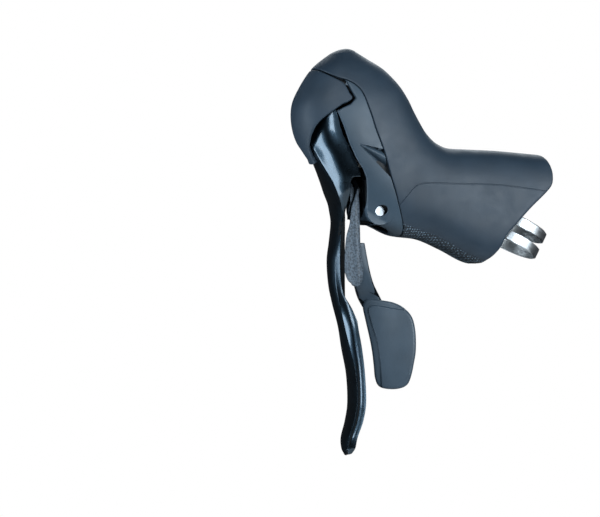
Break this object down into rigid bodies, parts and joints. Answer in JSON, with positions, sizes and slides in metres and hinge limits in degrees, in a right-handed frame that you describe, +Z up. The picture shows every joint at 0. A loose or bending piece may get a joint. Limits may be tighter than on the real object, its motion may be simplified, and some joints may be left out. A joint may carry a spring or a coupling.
{
  "type": "brake shift lever",
  "caption": "Right-hand drop-bar brake and shift lever with rubber hood, side covers, head cap, glossy channel blade, two shift paddles and a slotted bar clamp.",
  "frame": {"origin": "centre of the handlebar clamp, on the bar's axis", "axes": "+X to the rear, +Y outboard (to the rider's right), +Z up"},
  "size_m": [0.1142, 0.0412, 0.1737],
  "materials": {
    "nylon": "satin glass-filled nylon",
    "hood_rubber": "matt hood rubber",
    "cover_plastic": "satin moulded plastic",
    "cap_plastic": "satin moulded plastic",
    "gloss_lacquer": "high gloss black",
    "band_steel": "polished stainless",
    "bright_steel": "bright steel",
    "plated_steel": "zinc plated",
    "black_steel": "black plated",
    "cast_aluminium": "black anodised casting",
    "bronze": "sintered bronze",
    "acetal": "natural acetal",
    "pad_plastic": "satin moulded plastic",
    "grained_plastic": "coarse grained plastic",
    "bumper_rubber": "matt"
  },
  "bodies": {
    "bracket": {"bracket_body": "nylon", "hood": "hood_rubber", "inner_side_cover": "cover_plastic", "outer_side_cover": "cover_plastic", "clamp_band": "band_steel", "clamp_bolt": "plated_steel", "clamp_washer": "plated_steel", "lever_axle": "bright_steel", "axle_grub_screw": "black_steel", "cover_screw_inner": "black_steel", "cover_screw_outer": "black_steel", "stop_bumper": "bumper_rubber"},
    "brake_lever": {"lever_blade": "gloss_lacquer", "head_cap": "cap_plastic", "pivot_block": "cast_aluminium", "axle_bush_inner": "bronze", "axle_bush_outer": "bronze", "reach_screw": "plated_steel", "shift_spindle": "bright_steel", "spindle_nut": "bright_steel", "spindle_washer": "bright_steel", "shift_front_plate": "plated_steel", "cap_screw": "plated_steel", "blade_bolt_lower": "black_steel", "blade_bolt_upper": "black_steel", "release_pawl_pin": "bright_steel", "lever_return_spring": "bright_steel", "shift_return_spring": "bright_steel"},
    "cable_anchor": {"brake_cable_anchor": "bright_steel"},
    "shift_drum": {"cable_drum": "acetal", "ratchet_wheel": "plated_steel", "drum_spring": "bright_steel"},
    "downshift_lever": {"downshift_arm": "black_steel", "downshift_pad": "pad_plastic", "pad_screw": "black_steel", "drive_pawl_pin": "bright_steel"},
    "drive_pawl": {"drive_pawl": "plated_steel"},
    "upshift_lever": {"upshift_arm": "black_steel", "upshift_cover": "grained_plastic", "upshift_rivet": "black_steel"},
    "release_pawl": {"release_pawl": "plated_steel"}
  },
  "joints": [
    {"name": "brake_pull", "type": "hinge", "parent": "bracket", "child": "brake_lever", "pos_m": [-0.0654, 0, 0.0092], "axis": [0, -1, 0], "range_deg": [0, 24], "stiffness_Nm_per_rad": 0.9, "springref_deg": -20.05, "deforming": ["lever_return_spring"]},
    {"name": "anchor_turn", "type": "hinge", "parent": "brake_lever", "child": "cable_anchor", "pos_m": [-0.057, 0, 0.0258], "axis": [0, -1, 0], "range_deg": [-24, 0]},
    {"name": "drum_turn", "type": "hinge", "parent": "brake_lever", "child": "shift_drum", "pos_m": [-0.062, 0, 0.038], "axis": [-1, 0, 0], "range_deg": [0, 150], "deforming": ["drum_spring"]},
    {"name": "downshift_swing", "type": "hinge", "parent": "brake_lever", "child": "downshift_lever", "pos_m": [-0.062, 0, 0.038], "axis": [-1, 0, 0], "range_deg": [0, 11], "stiffness_Nm_per_rad": 0.12, "springref_deg": -14.32, "deforming": ["shift_return_spring"]},
    {"name": "upshift_swing", "type": "hinge", "parent": "downshift_lever", "child": "upshift_lever", "pos_m": [-0.062, 0, 0.038], "axis": [-1, 0, 0], "range_deg": [0, 7], "stiffness_Nm_per_rad": 0.08, "springref_deg": -11.46},
    {"name": "drive_pawl_turn", "type": "hinge", "parent": "downshift_lever", "child": "drive_pawl", "pos_m": [-0.073, -0.0108, 0.0465], "axis": [-1, 0, 0], "range_deg": [-8, 0]},
    {"name": "release_pawl_turn", "type": "hinge", "parent": "brake_lever", "child": "release_pawl", "pos_m": [-0.073, 0.0096, 0.0282], "axis": [-1, 0, 0], "range_deg": [-10.5, 0]}
  ],
  "couplings": [
    {"joint": "anchor_turn", "follows": "brake_pull", "ratio": -1},
    {"joint": "drive_pawl_turn", "follows": "downshift_swing", "ratio": -0.7},
    {"joint": "release_pawl_turn", "follows": "upshift_swing", "ratio": -1.5}
  ]
}
